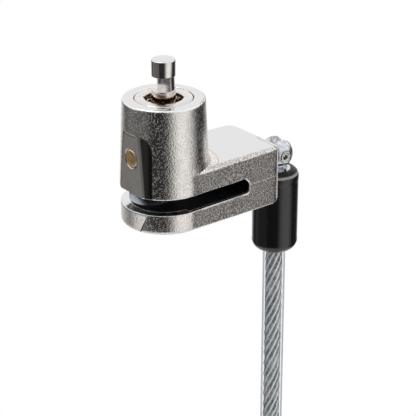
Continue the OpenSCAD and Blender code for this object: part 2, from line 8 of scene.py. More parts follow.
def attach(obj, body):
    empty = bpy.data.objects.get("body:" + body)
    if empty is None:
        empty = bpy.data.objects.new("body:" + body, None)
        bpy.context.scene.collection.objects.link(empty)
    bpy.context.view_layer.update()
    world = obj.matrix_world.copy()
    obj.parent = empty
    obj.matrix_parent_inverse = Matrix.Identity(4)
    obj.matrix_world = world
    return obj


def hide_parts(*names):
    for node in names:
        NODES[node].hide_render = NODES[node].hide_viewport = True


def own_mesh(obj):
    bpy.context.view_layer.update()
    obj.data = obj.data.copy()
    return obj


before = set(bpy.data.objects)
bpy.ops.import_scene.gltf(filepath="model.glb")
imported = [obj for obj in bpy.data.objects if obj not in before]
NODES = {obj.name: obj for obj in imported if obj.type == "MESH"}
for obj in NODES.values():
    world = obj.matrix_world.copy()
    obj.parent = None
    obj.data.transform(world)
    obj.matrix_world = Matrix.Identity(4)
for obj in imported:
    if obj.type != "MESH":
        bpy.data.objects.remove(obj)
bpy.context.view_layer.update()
MM = 0.001


def mm(*values):
    """A point given in millimetres, in metres."""
    return Vector(values) * MM


# ---------------- sizes in millimetres
# They are the part's, but for the swivel's ball and its two flats, which stand 0.35 mm further out, and
# the springs, which end 0.05 mm lower.
BARREL_R = 8.5
BARREL_TOP = 22.2
TAPER = 0.04
SLOT_H = 3.3
SLOT_END = 15.3
ARM_END = 23.85
ARM_HALF = 8.65
ARM_TOP = 8.25
JAW_T = 4.5
JAW_R = 9.1
JAW_ROUND = 1
FLAT_X = 8.4
FLAT_TOP = 16.3
PAD_R = 7.0
PAD_HALF = 8.15
PAD_T = 0.8
ACCESS_R = 3.2
CASE_R = 6.0
CASE_FLOOR = 7.0
CASE_INNER_R = 4.95
LIP_T = 1.6
LIP_LOW = BARREL_TOP - LIP_T
KEYWAY_R = 3.87
NOTCH_ANGLE = -38.4
PIN_ANGLES = (0, 45, 90, 135, 225, 270, 315)
PIN_CIRCLE_R = 3.16
SPRING_Z = (8.2, 10.5)
BRASS_Z = 10.95
BRASS_R = 1.9
POST_R = 2.45
POST_TOP = 30.2
HEAD_BOTTOM = 26.8
COLLAR_TOP = 23.9
TAIL_R = 1.8
CAM_Z = (1.3, 3.2)
CAM_R = 4.4
CAM_OFFSET = 3.6
HUB_R = 2.9
PIVOT = (30.1, 2.5)
BALL_R = 3.65
FORK_HALF = 3.3
FORK_GAP = 3.0
FORK_START = ARM_END + 0.3
NECK_R = 2.6
SHANK_R = 1.8
SHANK_START = 17.8
PIVOT_PIN_R = 1.25
SLEEVE_R = 5.1
SLEEVE_Z = (-20.1, -0.9)
CRIMP_Z = (-17.5, -1.7)
CABLE_R = 2.5
GROUND = -169.0

# ---------------- camera
scene = bpy.context.scene
LOOK_AZIMUTH = math.radians(38.4)
LOOK_DOWN = math.radians(24.3)
LOOK_FROM = (-175.8, -236.1, 130.6)
LOOK_EAST = 0.62
LOOK_NORTH = 0.78
camera_data = bpy.data.cameras.new("camera")
camera_data.sensor_width = 36
camera_data.lens = 135.1
camera_data.clip_start = 0.01
camera = bpy.data.objects.new("camera", camera_data)
scene.collection.objects.link(camera)
right = Vector((math.cos(LOOK_AZIMUTH), -math.sin(LOOK_AZIMUTH), 0))
ahead = Vector((math.sin(LOOK_AZIMUTH) * math.cos(LOOK_DOWN),
                math.cos(LOOK_AZIMUTH) * math.cos(LOOK_DOWN), -math.sin(LOOK_DOWN)))
facing = Matrix((right, right.cross(ahead), -ahead)).transposed().to_4x4()
camera.matrix_world = Matrix.Translation(mm(*LOOK_FROM)) @ facing
scene.camera = camera

# ---------------- the cable's route, as in the part's source
DROP_POINTS = [
    (0, 0, -19), (0, 0, -23), (0, 0, -35), (0, 0, -47), (0, 0, -58), (0, 0, -66),
    (0, 0, -72.5), (0.5, 0, -79), (1, -0.5, -85.5), (1.5, -0.5, -92), (3, -1.5, -98.5),
    (4.5, -2, -104.5), (7, -2.5, -110.5), (10, -2.5, -116.5), (13.5, -2, -121.5), (17.5, 0, -126.5),
    (21.5, 3, -130.5), (24.5, 7, -134.5), (26.5, 12.5, -137.5), (27, 18.5, -140), (26, 24.5, -142),
    (23, 30, -143.5), (18.5, 35, -144), (13, 38.5, -144.5), (6.5, 40.5, -144.5), (0, 41, -144.5),
    (-6, 40.5, -145), (-11.5, 39, -145.5), (-16.5, 37, -146), (-21, 34, -146.5), (-25, 30, -147.5),
    (-28.5, 25.5, -148.5), (-31.5, 20.5, -149.5), (-33.5, 15.5, -150), (-34.55, 10, -150.5),
]
TAIL_POINTS = [
    (-34.55, 0, -167), (-34.5, -9, -166.5), (-34.5, -18, -166.5), (-34.5, -27, -166),
    (-33, -34.5, -166), (-28.5, -41, -165.5), (-22, -45.5, -165.5), (-14.5, -47, -165.6),
    (-11, -47, -165.6), (-6, -47, -165.6),
]
DROP_ROUTE = [(PIVOT[0] + x, y, z) for x, y, z in DROP_POINTS]
TAIL_ROUTE = [(PIVOT[0] + x, y, z) for x, y, z in TAIL_POINTS]
COIL_CENTRE = (PIVOT[0], 5)
COIL_TOP = -150.5
COIL_LAYERS = 4
COIL_OUTER = 34.55
TURN_STEP = 5.6
LAYER_STEP = 5.5
LAYER_TURNS = 1.625
CLIMB_TURNS = 0.5
CLIMB_SWING = 1.0
TIE_ANGLE = 40
TIE_W = 7
TIE_T = 0.6
BORE_GAP = 5.6
FERRULE_LEN = 14
FERRULE_R = 3.4
LOOP_R = 14
LOOP_REACH = 30


def coil_point(t):
    """The coil's centreline after t turns: each layer spirals, then climbs where the spiral reverses."""
    inner = COIL_OUTER - TURN_STEP * LAYER_TURNS
    period = LAYER_TURNS + CLIMB_TURNS
    layer = min(int(t / period), COIL_LAYERS - 1)
    u = t - layer * period
    inwards = layer % 2 == 0
    z = COIL_TOP - LAYER_STEP * layer
    if u <= LAYER_TURNS:
        r = COIL_OUTER - TURN_STEP * u if inwards else inner + TURN_STEP * u
    else:
        s = (u - LAYER_TURNS) / CLIMB_TURNS
        swing = CLIMB_SWING * math.sin(math.pi * s)
        r = inner - swing if inwards else COIL_OUTER + swing
        z -= LAYER_STEP * (1 - math.cos(math.pi * s)) / 2
    a = math.pi * (1 + 2 * t)
    return (COIL_CENTRE[0] + r * math.cos(a), COIL_CENTRE[1] + r * math.sin(a), z)


def coil_route(rings_per_turn):
    turns = COIL_LAYERS * LAYER_TURNS + (COIL_LAYERS - 1) * CLIMB_TURNS
    count = round(turns * rings_per_turn)
    return [coil_point(turns * i / count) for i in range(count + 1)]


def loop_route():
    """The loop from its cut end through the ferrule, round its tip and back through the ferrule."""
    x0, y0, z0 = TAIL_ROUTE[-1]
    y0 -= BORE_GAP / 2
    side = BORE_GAP / 2
    cut_end = x0 - 1.5
    inside = x0 + 5
    out = x0 + FERRULE_LEN
    tip_z = GROUND + CABLE_R
    steps = 12
    points = [(cut_end, y0 - side, z0), (inside, y0 - side, z0)]
    for i in range(3 * steps + 1):
        u = i / steps
        if 1 < u < 2:
            a = math.pi * (u - 1)
            x, y = out + LOOP_REACH + LOOP_R * math.sin(a), -LOOP_R * math.cos(a)
        else:
            v = u if u <= 1 else 3 - u
            x = out + LOOP_REACH * v
            y = side + (LOOP_R - side) * (1 - math.cos(math.pi * v)) / 2
            y = -y if u <= 1 else y
        points.append((x, y0 + y, z0 + (tip_z - z0) * (x - out) / (LOOP_REACH + LOOP_R)))
    return points + [(inside, y0 + side, z0), (x0, y0 + side, z0)]


def smooth_route(points, step):
    """A curve through the points, with a ring at about every step."""
    p = [Vector(q) for q in points]
    p = [2 * p[0] - p[1]] + p + [2 * p[-1] - p[-2]]
    made = []
    for a, b, c, d in zip(p, p[1:], p[2:], p[3:]):
        count = max(1, round((c - b).length / step))
        for i in range(count):
            t = i / count
            made.append(0.5 * (2 * b + (c - a) * t + (2 * a - 5 * b + 4 * c - d) * t ** 2
                               + (3 * b - 3 * c + d - a) * t ** 3))
    return made + [p[-2]]


# ---------------- mesh helpers
def arc(cx, cy, r, start, end, steps=8):
    """Points of an arc, for rounded outlines."""
    turn = [math.radians(start + (end - start) * i / steps) for i in range(steps + 1)]
    return [(cx + r * math.cos(a), cy + r * math.sin(a)) for a in turn]


def circle(cx, cy, r, steps=48):
    return arc(cx, cy, r, 0, 360, steps)[:-1]


def turned(profile, steps=96, at=(0, 0), ring=False):
    """A solid turned about the upright line through at, from (radius, height) points in millimetres.
    A ring's profile is closed, and any other starts and ends on the line."""
    bm = bmesh.new()
    corners = [bm.verts.new(mm(at[0] + r, at[1], z)) for r, z in profile]
    edges = [bm.edges.new(pair) for pair in zip(corners, corners[1:])]
    if ring:
        edges.append(bm.edges.new((corners[-1], corners[0])))
    bmesh.ops.spin(bm, geom=corners + edges, cent=mm(*at, 0), axis=(0, 0, 1), angle=2 * math.pi,
                   steps=steps, use_merge=True)
    bmesh.ops.remove_doubles(bm, verts=bm.verts, dist=1e-7)
    bmesh.ops.recalc_face_normals(bm, faces=bm.faces)
    return bm


def pushed(outline, low, high, axes="xyz"):
    """An outline in millimetres pushed from low to high. axes names the outline's two axes and then
    the push's."""
    order = ["xyz".index(name) for name in axes]

    def corner(point, along):
        place = [0, 0, 0]
        for axis, value in zip(order, (*point, along)):
            place[axis] = value
        return mm(*place)

    bm = bmesh.new()
    base = bm.faces.new([bm.verts.new(corner(q, low)) for q in outline])
    made = bmesh.ops.extrude_face_region(bm, geom=[base])["geom"]
    bmesh.ops.translate(bm, verts=[v for v in made if isinstance(v, bmesh.types.BMVert)],
                        vec=corner((0, 0), high - low))
    bmesh.ops.recalc_face_normals(bm, faces=bm.faces)
    return bm


def block(start, end, half, low, high):
    """A block from start to end along x, as far as half to each side, and from low to high."""
    return pushed([(start, -half), (end, -half), (end, half), (start, half)], low, high)


def tipped(bm, axis, angle):
    """Turns a bmesh about one of the frame's axes by an angle in degrees."""
    turn = Matrix.Rotation(math.radians(angle), 3, axis)
    bmesh.ops.rotate(bm, verts=bm.verts, cent=(0, 0, 0), matrix=turn)
    return bm


def moved(bm, *by):
    """Moves a bmesh by so many millimetres."""
    bmesh.ops.translate(bm, verts=bm.verts, vec=mm(*by))
    return bm


def new_object(name, bm, material=None, body=None):
    mesh = bpy.data.meshes.new(name)
    bm.to_mesh(mesh)
    bm.free()
    for face in mesh.polygons:
        face.use_smooth = True
    made = bpy.data.objects.new(name, mesh)
    scene.collection.objects.link(made)
    if material:
        mesh.materials.append(material)
    if body:
        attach(made, body)
    return made


def piece(name, bm, material, body, slot, *nodes, ease=0.0, angle=30, flat_faces=True):
    """A finished piece that stands for CAD nodes. Its edges are eased, and its large faces shade flat."""
    made = new_object(name, bm, material, body)
    if ease:
        edges = made.modifiers.new("edges", "BEVEL")
        edges.width = ease * MM
        edges.segments = 2
        edges.limit_method = "ANGLE"
        edges.angle_limit = math.radians(angle)
    if flat_faces:
        shading = made.modifiers.new("shading", "WEIGHTED_NORMAL")
        shading.weight = 80
    if nodes:
        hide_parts(*nodes)
    return made


def mesh_of(made):
    """Takes an object's mesh into a bmesh and removes the object."""
    bm = bmesh.new()
    bm.from_mesh(made.data)
    mesh = made.data
    bpy.data.objects.remove(made)
    bpy.data.meshes.remove(mesh)
    return bm


def bake(made):
    """Turns an object's modifiers into its mesh."""
    graph = bpy.context.evaluated_depsgraph_get()
    baked = bpy.data.meshes.new_from_object(made.evaluated_get(graph))
    made.modifiers.clear()
    old = made.data
    made.data = baked
    bpy.data.meshes.remove(old)
    baked.name = made.name


def combined(base, *changes):
    """A solid after each (operation, other solid) in turn. The cuts are made a thousand times too large,
    since the solver loses edges on small solids."""
    for bm in (base, *(other for _, other in changes)):
        bmesh.ops.scale(bm, verts=bm.verts, vec=(1000, 1000, 1000))
    made = new_object("work", base)
    for operation, bm in changes:
        other = new_object("tool", bm)
        change = made.modifiers.new("change", "BOOLEAN")
        change.operation = operation
        change.solver = "EXACT"
        change.object = other
        bake(made)
        mesh_of(other).free()
    made.data.transform(Matrix.Scale(MM, 4))
    return mesh_of(made)


def frames_along(points, start_side):
    """At each point: the place, and two directions across the route that don't twist along it."""
    across = Vector(start_side)
    made = []
    last = len(points) - 1
    for i, p in enumerate(points):
        ahead_dir = (points[min(i + 1, last)] - points[max(i - 1, 0)]).normalized()
        across = (across - across.dot(ahead_dir) * ahead_dir).normalized()
        made.append((p, across, ahead_dir.cross(across)))
    return made


def sweep(points, outline, start_side=(1, 0, 0), grey=None):
    """A closed tube along points. outline(run) gives the ring of (across, up) offsets at run along the
    route. grey(k) gives a shade for the ring's k-th point, which is kept as a colour attribute."""
    points = [Vector(p) for p in points]
    bm = bmesh.new()
    shade = bm.loops.layers.float_color.new("shade") if grey else None
    rings = []
    run = 0
    before = points[0]
    for p, a, b in frames_along(points, start_side):
        run += (p - before).length
        before = p
        ring = [p + x * a + y * b for x, y in outline(run)]
        rings.append([bm.verts.new(mm(q.x, q.y, max(q.z, GROUND))) for q in ring])
    size = len(rings[0])
    for low, high in zip(rings, rings[1:]):
        for k in range(size):
            n = (k + 1) % size
            face = bm.faces.new((low[k], low[n], high[n], high[k]))
            if grey:
                for loop, at in zip(face.loops, (k, n, n, k)):
                    loop[shade] = (grey(at),) * 3 + (1,)
    bm.faces.new(reversed(rings[0]))
    bm.faces.new(rings[-1])
    return bm


def circle_outline(r, sides):
    ring = circle(0, 0, r, sides)
    return lambda run: ring


# ---------------- shader maths
class Value:
    """One number in a shader, so that sums can be written as sums."""

    def __init__(self, tree, socket):
        self.tree = tree
        self.socket = socket

    def use(self, operation, *terms):
        node = self.tree.nodes.new("ShaderNodeMath")
        node.operation = operation
        for place, term in zip(node.inputs, terms):
            if isinstance(term, Value):
                self.tree.links.new(term.socket, place)
            else:
                place.default_value = term
        return Value(self.tree, node.outputs[0])

    def __add__(self, other):
        return self.use("ADD", self, other)

    def __sub__(self, other):
        return self.use("SUBTRACT", self, other)

    def __rsub__(self, other):
        return self.use("SUBTRACT", other, self)

    def __mul__(self, other):
        return self.use("MULTIPLY", self, other)

    def __pow__(self, other):
        return self.use("POWER", self, other)

    def __abs__(self):
        return self.use("ABSOLUTE", self)

    def turn_from(self, other):
        """The angle in degrees of the direction whose parts are other and self."""
        return self.use("ARCTAN2", self, other) * (180 / math.pi)

    def wave(self):
        return self.use("SINE", self)

    def most(self, other):
        return self.use("MAXIMUM", self, other)

    def step(self, low, high):
        """0 at low and 1 at high, with a soft rise between; low may be the larger."""
        node = self.tree.nodes.new("ShaderNodeMapRange")
        node.interpolation_type = "SMOOTHSTEP"
        self.tree.links.new(self.socket, node.inputs["Value"])
        node.inputs["From Min"].default_value = min(low, high)
        node.inputs["From Max"].default_value = max(low, high)
        node.inputs["To Min"].default_value = float(low > high)
        node.inputs["To Max"].default_value = float(low < high)
        return Value(self.tree, node.outputs["Result"])


class Shading:
    """A node tree and the one way of adding nodes to it."""

    def __init__(self, tree):
        self.tree = tree

    def node(self, kind, settings=None, **inputs):
        """A new node. Its settings come first, then its inputs, where n0 is the first whatever its name."""
        made = self.tree.nodes.new(kind)
        for key, value in (settings or {}).items():
            setattr(made, key, value)
        for key, value in inputs.items():
            numbered = key[0] == "n" and key[1:].isdigit()
            self.give(made.inputs[int(key[1:]) if numbered else key.replace("_", " ")], value)
        return made

    def give(self, place, value):
        if isinstance(value, Value):
            value = value.socket
        if isinstance(value, bpy.types.NodeSocket):
            self.tree.links.new(value, place)
        elif isinstance(value, tuple) and len(value) == 3 and place.type == "RGBA":
            place.default_value = (*value, 1)
        else:
            place.default_value = value

    def value(self, node, output=0):
        return Value(self.tree, node.outputs[output])

    def parts(self, vector):
        split = self.node("ShaderNodeSeparateXYZ", Vector=vector)
        return [self.value(split, k) for k in range(3)]


class Surface(Shading):
    """A Principled material and the numbers that its nodes work with, in millimetres."""

    def __init__(self, name, colour, metallic=0.0, roughness=0.4, **fixed):
        self.material = bpy.data.materials.new(name)
        self.material.use_nodes = True
        super().__init__(self.material.node_tree)
        self.shader = self.tree.nodes["Principled BSDF"]
        self.set("Base Color", colour)
        self.set("Metallic", metallic)
        self.set("Roughness", roughness)
        for key, value in fixed.items():
            self.set(key.replace("_", " ").title().replace("Ior", "IOR"), value)
        self.place = self.node("ShaderNodeTexCoord").outputs["Object"]
        self.x, self.y, self.z = (part * 1000 for part in self.parts(self.place))
        self.nx, self.ny, self.nz = self.parts(self.node("ShaderNodeNewGeometry").outputs["Normal"])

    def set(self, key, value):
        self.give(self.shader.inputs[key], value)

    def stretched(self, x=1.0, y=1.0, z=1.0):
        made = self.node("ShaderNodeVectorMath", {"operation": "MULTIPLY"}, n0=self.place, n1=(x, y, z))
        return made.outputs["Vector"]

    def noise(self, grain, detail=2.0, rough=0.5, place=None):
        """Noise from 0 to 1 whose features are about grain millimetres across."""
        return self.value(self.node("ShaderNodeTexNoise", Vector=place or self.place, Scale=1000 / grain,
                                    Detail=detail, Roughness=rough), "Fac")

    def cells(self, grain):
        """One random value for each cell, grain millimetres across."""
        return self.value(self.node("ShaderNodeTexVoronoi", Vector=self.place, Scale=1000 / grain), "Color")

    def reach(self):
        """How far a place is from the barrel's axis."""
        return (self.x * self.x + self.y * self.y) ** 0.5

    def mix(self, amount, a, b):
        return self.node("ShaderNodeMix", {"data_type": "RGBA"}, Factor=amount, n6=a, n7=b).outputs[2]

    def layered(self, tone, *layers):
        """A tone with each (amount, colour) laid over it in turn."""
        for amount, colour in layers:
            tone = self.mix(amount, tone, colour)
        return tone

    def bump(self, height, depth):
        """height from 0 to 1 stands for depth millimetres."""
        made = self.node("ShaderNodeBump", Height=height, Distance=depth * MM, Strength=1.0)
        normal = self.shader.inputs["Normal"]
        if normal.is_linked:
            self.give(made.inputs["Normal"], normal.links[0].from_socket)
        self.give(normal, made.outputs["Normal"])


# ---------------- materials
def rightwards(x, y):
    """How far a place or a direction lies to the right, as the camera sees it."""
    return x * LOOK_NORTH - y * LOOK_EAST


def polished_painted_arch(s, reach):
    """A smooth field on the barrel beside the clamp flat, as high as the flat and round at one corner.
    The casting paints it dark as a painted reflection.
    """
    start, width, rise, roundness = -164, 21.5, 3.7, 2.6
    sideways = (s.y.turn_from(s.x) - start).most(0) * (1 / width)
    upwards = (s.z - (FLAT_TOP - rise)).most(0) * (1 / rise)
    return (sideways ** roundness + upwards ** roundness).step(1.06, 0.94) * reach.step(7.9, 8.3)


def slot_inside(s, reach):
    """The slot's ceiling and its end wall, which the casting paints near black as painted shade."""
    ceiling = s.z.step(SLOT_H + 0.2, SLOT_H + 0.05) * s.z.step(0.05, 0.3) * s.nz.step(-0.9, -0.98)
    end_wall = s.z.step(SLOT_H + 0.05, SLOT_H - 0.1) * s.z.step(-0.95, -0.85)
    end_wall = end_wall * s.x.step(0, 1) * s.x.step(SLOT_END + 0.4, SLOT_END) * abs(s.y).step(8.55, 8.25)
    return ceiling.most(end_wall) * reach.step(9.0, 8.7).most(s.x.step(1, 2))


def nickel_casting():
    """Satin nickel over a fine sand-cast skin. The faces that were milled or polished after casting are
    smooth: the tops, the clamp flat, and the arch beside the flat. Painted light and shade: the arch is
    painted dark as a painted reflection, the slot's inside near black as painted shade, the arm's flanks
    darker as painted shade, and the rounded edges and glint cells lighter as painted highlights."""
    s = Surface("nickel_casting", (0.72, 0.69, 0.66), metallic=1.0, roughness=0.2)
    reach = s.reach()
    above_slot = s.z.step(SLOT_H - 0.2, SLOT_H + 0.1)
    clamp_flat = s.x.step(0.25 - FLAT_X, 0.12 - FLAT_X) * s.z.step(FLAT_TOP + 0.2, FLAT_TOP - 0.1)
    clamp_flat = clamp_flat * above_slot
    # the arch is polished smooth, and painted dark as a painted reflection
    arch = polished_painted_arch(s, reach) * (1 - clamp_flat) * above_slot
    # the slot's inside is painted near black and made rougher, a painted shade
    slot_painted_shade = slot_inside(s, reach)
    milled_r = 11
    on_arm = s.x.step(2, 4)
    milled_line = abs(reach - milled_r).step(0.14, 0.04) * s.nz.step(0.9, 0.98) * on_arm
    ramp = reach.step(milled_r + 0.05, milled_r - 0.05) * s.z.step(ARM_TOP + 1, ARM_TOP + 0.5)
    ramp = ramp * s.z.step(ARM_TOP - 0.8, ARM_TOP - 0.5)
    band = s.z.step(ARM_TOP - 0.7, ARM_TOP - 0.5) * s.nz.step(0.985, 0.95) * on_arm
    tops = s.nz.step(0.75, 0.95) * (1 - band) * (1 - ramp)
    flank = abs(s.ny).step(0.955, 0.985) * s.x.step(-0.3, 0.8) * s.z.step(7.9, 7.5)
    # the rounded edges and the arm's end edge are painted light and less metallic, a painted highlight
    end_edge = s.x.step(ARM_END - 0.95, ARM_END - 0.8) * s.y.step(0, -4)
    edges = (abs(s.nz).step(0.22, 0.42) * abs(s.nz).step(0.92, 0.8)).most(end_edge)
    cast = 1 - tops.most(clamp_flat).most(arch)

    grit = s.noise(0.30, detail=2)
    patches = s.noise(2.6, detail=3)
    # glint cells are a bump, and their lighter colour is a painted glint
    glint = s.cells(0.21).step(0.70, 0.80) * cast
    parting = abs(s.z - 1.75).step(0.16, 0.04) * s.x.step(SLOT_END + 0.2, SLOT_END + 0.8)
    parting = parting * s.noise(0.42, detail=3, rough=0.6).step(0.3, 0.45)
    s.bump(patches * cast, 0.006)
    s.bump(grit.step(0.3, 0.75) * cast, 0.024)
    s.bump(glint, 0.02)
    s.bump(grit.step(0.35, 0.8) * flank, 0.03)
    # The jaw's side that the camera sees on the left faces down a little.
    jaw_left = (s.z * 0.4 - rightwards(s.x, s.y)).step(3.0, 3.3) * s.z.step(-0.2, -0.5)
    s.bump(s.z * (jaw_left * 0.42), 1)
    s.bump(parting, 0.05)
    # The edge of the arm's end faces outwards a little more.
    s.bump((s.x - ARM_END) * (end_edge * -0.55), 1)

    # the arm's flanks are painted darker, a painted shade, with lighter grit specks as painted glints
    flank_shade_and_grit = s.mix(grit.step(0.40, 0.62), (0.13, 0.12, 0.11), (0.64, 0.60, 0.57))
    s.set("Base Color", s.layered(
        s.mix(patches.step(0.3, 0.75), (0.78, 0.74, 0.71), (0.89, 0.84, 0.80)),
        (grit.step(0.45, 0.60) * (cast * 0.25), (0.42, 0.39, 0.37)), (tops, (0.76, 0.76, 0.76)),
        (glint * 0.6, (0.95, 0.91, 0.87)), (flank * 0.9, flank_shade_and_grit), (parting * 0.6, (0.86, 0.84, 0.81)),
        (edges * 0.85, (0.96, 0.95, 0.93)), (band * grit.step(0.4, 0.6), (0.42, 0.40, 0.38)),
        (milled_line * 0.6, (0.30, 0.29, 0.28)), (arch * 0.9, (0.07, 0.068, 0.065)),
        (slot_painted_shade, (0.012, 0.012, 0.012))))
    s.set("Metallic", 1 - end_edge.most(edges * s.z.step(0.5, 0)) * (1 - slot_painted_shade) * 0.9)
    s.set("Roughness", cast * 0.03 + patches * 0.04 + flank * 0.14 + (slot_painted_shade * 0.3 + 0.09))
    return s.material


def turned_metal(name, colour, roughness, along=(1, 1, 8), depth=0.004):
    """A metal with fine marks of turning or brushing, which lie closest the way that along is largest."""
    s = Surface(name, colour, metallic=1.0, roughness=roughness)
    marks = s.noise(0.5, detail=4, place=s.stretched(*along))
    wear = s.noise(2.2, detail=3)
    dull = tuple(0.75 * part for part in colour)
    s.bump(marks, depth)
    s.set("Roughness", marks * 0.08 + wear * 0.08 + (roughness - 0.08))
    s.set("Base Color", s.mix(wear.step(0.3, 0.7), dull, colour))
    return s.material


def case_nickel():
    """The cylinder case: a polished top face with faint turned rings, and copper showing at its worn lip."""
    s = Surface("case_nickel", (0.74, 0.72, 0.70), metallic=1.0, roughness=0.15)
    reach = s.reach()
    wear = s.noise(1.2, detail=3)
    rings = (reach * 40).wave() * 0.5 + 0.5
    s.bump(rings, 0.0006)
    lip = reach.step(KEYWAY_R + 0.35, KEYWAY_R + 0.05)
    groove = reach.step(CASE_R - 0.35, CASE_R - 0.1)
    inside = s.z.step(BARREL_TOP - 0.2, BARREL_TOP - 0.7)
    s.set("Base Color", s.layered(
        s.mix(wear.step(0.3, 0.7), (0.71, 0.70, 0.69), (0.78, 0.77, 0.76)),
        (lip * wear.step(0.35, 0.6) * 0.7, (0.80, 0.58, 0.44)),
        (groove * wear.step(0.3, 0.7) * 0.6, (0.60, 0.46, 0.38)),
        (inside * wear.step(0.35, 0.5), (0.20, 0.13, 0.09))))
    s.set("Roughness", wear * 0.12 + 0.1)
    return s.material


def keyway_brass():
    """Brass that has turned brown in the keyway, with bare copper-coloured glints. Its top is worn bright
    by the key."""
    s = Surface("keyway_brass", (0.35, 0.20, 0.10), metallic=1.0, roughness=0.3)
    patina = s.noise(0.7, detail=3)
    s.bump(patina, 0.03)
    tone = s.mix(patina.step(0.48, 0.60), (0.055, 0.034, 0.022), (0.92, 0.58, 0.38))
    worn = s.nz.step(0.9, 0.95) * s.z.step(LIP_LOW - 1, LIP_LOW - 0.5) * patina.step(0.66, 0.56)
    s.set("Base Color", s.mix(worn * 0.85, tone, (0.86, 0.82, 0.78)))
    s.set("Roughness", patina * 0.15 + 0.12)
    return s.material


def pin_brass():
    """The retaining pin: drawn brass with brown stains and a bright turned rim."""
    s = Surface("pin_brass", (0.80, 0.55, 0.24), metallic=1.0, roughness=0.3)
    drop = s.z - BRASS_Z
    reach = (s.y * s.y + drop * drop) ** 0.5
    stain = s.noise(0.9, detail=3)
    scratches = s.noise(0.4, detail=3, place=s.stretched(1, 1, 5))
    s.bump(scratches, 0.012)
    tone = s.mix(stain.step(0.35, 0.65), (0.74, 0.46, 0.20), (1.0, 0.71, 0.36))
    s.set("Base Color", s.mix(reach.step(1.5, 1.75), tone, (1.0, 0.84, 0.60)))
    s.set("Roughness", scratches * 0.15 + 0.38)
    return s.material


def post_steel():
    """Polished plated steel: a copper blush over a band of painted shade on the collar, and a darker band
    under the head.
    """
    s = Surface("post_steel", (0.78, 0.75, 0.71), metallic=1.0, roughness=0.12)
    polish = s.noise(0.5, detail=3, place=s.stretched(1, 1, 6))
    wear = s.noise(1.5, detail=2)
    s.bump(polish, 0.0015)
    # a band on the collar is painted dark brown, a painted shade; the steel is also darker under the head
    collar_shade_top = COLLAR_TOP - 0.95
    collar_painted_shade = s.z.step(collar_shade_top, collar_shade_top - 0.25) * s.z.step(collar_shade_top - 0.85, collar_shade_top - 0.6)
    s.set("Base Color", s.layered(
        s.mix(wear.step(0.35, 0.7), (0.72, 0.69, 0.66), (0.82, 0.79, 0.76)),
        (collar_painted_shade * wear.step(0.2, 0.45), (0.16, 0.10, 0.055)),
        (abs(s.z - collar_shade_top).step(0.22, 0.05) * 0.8, (0.86, 0.62, 0.46)),
        (s.nz.step(0.9, 0.95) * s.z.step(COLLAR_TOP, HEAD_BOTTOM), (0.74, 0.74, 0.75)),
        (abs(s.z - HEAD_BOTTOM).step(0.28, 0.1) * 0.75, (0.20, 0.15, 0.12))))
    s.set("Roughness", polish * 0.08 + wear * 0.06 + 0.06)
    return s.material


def blued_steel():
    """The swivel's zinc-plated steel: bluish, satin and slightly mottled."""
    s = Surface("blued_steel", (0.50, 0.53, 0.57), metallic=1.0, roughness=0.2)
    mottle = s.noise(0.8, detail=3)
    fine = s.noise(0.3, detail=2)
    s.bump(mottle + fine * 0.5, 0.006)
    s.set("Base Color", s.mix(mottle.step(0.35, 0.65), (0.50, 0.51, 0.53), (0.80, 0.82, 0.85)))
    s.set("Roughness", fine * 0.08 + 0.06)
    return s.material


def black_rubber():
    """Matt rubber, painted greyer where its edges are rounded, as a painted highlight."""
    s = Surface("black_rubber", (0.02, 0.02, 0.02), roughness=0.7, specular_ior_level=0.2)
    grain = s.noise(0.25, detail=2)
    worn = s.noise(3.0, detail=3)
    # rim: the rounded edges, painted grey as a painted highlight
    rim = s.nz.step(0.3, 0.5) * s.nz.step(0.97, 0.85)
    s.bump(grain, 0.02)
    tone = s.mix(worn.step(0.4, 0.7), (0.004, 0.004, 0.004), (0.010, 0.010, 0.010))
    s.set("Base Color", s.mix(rim, tone, (0.22, 0.22, 0.23)))
    s.set("Roughness", grain * 0.2 + 0.6)
    return s.material


def black_plastic():
    """Glossy moulded plastic: faintly wavy, with a parting line, fine dust, a few scuffs and a shoulder
    painted pale as a painted highlight."""
    s = Surface("black_plastic", (0.008, 0.008, 0.009), roughness=0.2, coat_roughness=0.06,
                specular_ior_level=0.15)
    waves = s.noise(5.0, detail=2)
    dust = s.noise(0.3, detail=3)
    scuffs = s.noise(1.0, detail=4, place=s.stretched(1, 1, 0.3))
    parting = abs(s.x - PIVOT[0]).step(0.14, 0.04)
    # the shoulder is painted pale, a painted highlight
    shoulder = s.nz.step(0.3, 0.42) * s.nz.step(0.7, 0.55)
    marks = scuffs.step(0.66, 0.74)
    s.bump(waves, 0.10)
    s.bump(parting, 0.03)
    s.set("Coat Weight", s.z.step(SLEEVE_Z[1] - 0.5, SLEEVE_Z[1] - 1.0) * 0.95)
    tone = s.mix(marks * 0.5, (0.008, 0.008, 0.009), (0.06, 0.06, 0.062))
    s.set("Base Color", s.mix(shoulder, tone, (0.30, 0.30, 0.31)))
    s.set("Roughness", dust * 0.1 + marks * 0.25 + 0.09)
    return s.material


def woven_strap():
    """Black hook-and-loop strap: a soft looped face with a fine cross weave."""
    s = Surface("black_strap", (0.03, 0.03, 0.035), roughness=0.8)
    rows = (s.z * 9).wave() * (s.x * 7 + s.y * 7).wave() * 0.5 + 0.5
    fuzz = s.noise(0.35, detail=3)
    s.bump(rows * 0.6 + fuzz, 0.12)
    s.set("Base Color", s.mix(fuzz.step(0.35, 0.65), (0.012, 0.012, 0.014), (0.055, 0.055, 0.06)))
    s.set("Roughness", fuzz * 0.2 + 0.7)
    return s.material


